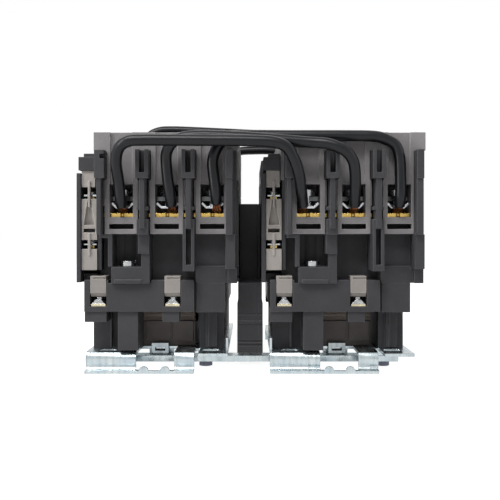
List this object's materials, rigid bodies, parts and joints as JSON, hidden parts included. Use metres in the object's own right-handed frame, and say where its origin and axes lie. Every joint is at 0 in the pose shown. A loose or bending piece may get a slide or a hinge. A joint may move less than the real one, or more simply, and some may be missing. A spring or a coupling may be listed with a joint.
{
  "type": "transfer switch contactor pair",
  "caption": "Interlocked change-over contactors on folded steel plates, with jumper wires, sliding contact carriers, auxiliary blocks, rail latches and a mechanical interlock.",
  "frame": {"origin": "centre of the bounding box's bottom, on the panel under the folded feet", "axes": "+Z away from the panel, +X across the pair from the left to the right contactor, the near terminals face -Y"},
  "size_m": [0.165, 0.1451, 0.1359],
  "materials": {
    "black_plastic": "fine-grained moulded polyamide",
    "taupe_plastic": "fine-grained moulded polyamide",
    "pale_taupe_plastic": "fine-grained moulded polyamide",
    "brown_plastic": "moulded phenolic",
    "zinc_steel": "bright zinc plate with a faint blue cast",
    "steel": "zinc plated",
    "core_iron": "stacked laminations",
    "brass": "rolled, slightly dulled",
    "copper": "bare stranded copper",
    "wire_insulation": "soft black PVC with a slight sheen"
  },
  "bodies": {
    "frame": {"left_mount_plate": "zinc_steel", "left_base_housing": "black_plastic", "left_fixed_core": "core_iron", "left_coil_bobbin": "brown_plastic", "left_coil_winding": "brown_plastic", "left_contact_housing": "black_plastic", "left_arc_cover": "taupe_plastic", "left_front_plate": "black_plastic", "left_fixed_contacts": "brass", "left_return_springs": "steel", "left_aux_block": "black_plastic", "right_mount_plate": "zinc_steel", "right_base_housing": "black_plastic", "right_fixed_core": "core_iron", "right_coil_bobbin": "brown_plastic", "right_coil_winding": "brown_plastic", "right_contact_housing": "black_plastic", "right_arc_cover": "taupe_plastic", "right_front_plate": "black_plastic", "right_fixed_contacts": "brass", "right_return_springs": "steel", "right_aux_block": "black_plastic", "terminal_clamps": "steel", "terminal_screws": "steel", "aux_terminals": "pale_taupe_plastic", "aux_contacts": "brass", "aux_screws": "steel", "coil_terminals": "pale_taupe_plastic", "coil_terminal_screws": "steel", "housing_screws": "steel", "link_bar": "zinc_steel", "link_screws": "steel", "interlock_body": "black_plastic", "interlock_cover": "black_plastic", "near_jumper_1": "wire_insulation", "near_jumper_2": "wire_insulation", "near_jumper_3": "wire_insulation", "far_jumper_1": "wire_insulation", "far_jumper_2": "wire_insulation", "far_jumper_3": "wire_insulation", "bare_conductors": "copper"},
    "left_carrier": {"left_carrier": "black_plastic", "left_armature": "core_iron", "left_contact_bridges": "brass", "left_contact_springs": "steel", "left_aux_plunger": "black_plastic", "left_aux_bridge": "brass"},
    "right_carrier": {"right_carrier": "black_plastic", "right_armature": "core_iron", "right_contact_bridges": "brass", "right_contact_springs": "steel", "right_aux_plunger": "black_plastic", "right_aux_bridge": "brass"},
    "left_rail_latch": {"left_rail_latch": "zinc_steel"},
    "right_rail_latch": {"right_rail_latch": "zinc_steel"},
    "left_interlock_slider": {"interlock_left_slider": "brown_plastic"},
    "right_interlock_slider": {"interlock_right_slider": "brown_plastic"},
    "interlock_rocker": {"interlock_rocker": "brown_plastic"}
  },
  "joints": [
    {"name": "left_carrier_slide", "type": "slide", "parent": "frame", "child": "left_carrier", "axis": [0, 0, 1], "range_m": [-0.005, 0], "stiffness_N_per_m": 1500, "springref_m": 0.006, "deforming": ["left_return_springs"]},
    {"name": "right_carrier_slide", "type": "slide", "parent": "frame", "child": "right_carrier", "axis": [0, 0, 1], "range_m": [-0.005, 0], "stiffness_N_per_m": 1500, "springref_m": 0.006, "deforming": ["right_return_springs"]},
    {"name": "left_interlock_slide", "type": "slide", "parent": "frame", "child": "left_interlock_slider", "axis": [0, 0, 1], "range_m": [-0.005, 0]},
    {"name": "right_interlock_slide", "type": "slide", "parent": "frame", "child": "right_interlock_slider", "axis": [0, 0, 1], "range_m": [-0.005, 0]},
    {"name": "left_latch_pull", "type": "slide", "parent": "frame", "child": "left_rail_latch", "axis": [0, -1, 0], "range_m": [0, 0.004], "stiffness_N_per_m": 600, "springref_m": -0.003},
    {"name": "right_latch_pull", "type": "slide", "parent": "frame", "child": "right_rail_latch", "axis": [0, -1, 0], "range_m": [0, 0.004], "stiffness_N_per_m": 600, "springref_m": -0.003},
    {"name": "rocker_tilt", "type": "hinge", "parent": "frame", "child": "interlock_rocker", "pos_m": [0, 0, 0.04], "axis": [1, 0, 0], "range_deg": [-13, 13]}
  ],
  "couplings": [
    {"joint": "left_interlock_slide", "follows": "left_carrier_slide", "ratio": 1},
    {"joint": "right_interlock_slide", "follows": "right_carrier_slide", "ratio": 1}
  ]
}
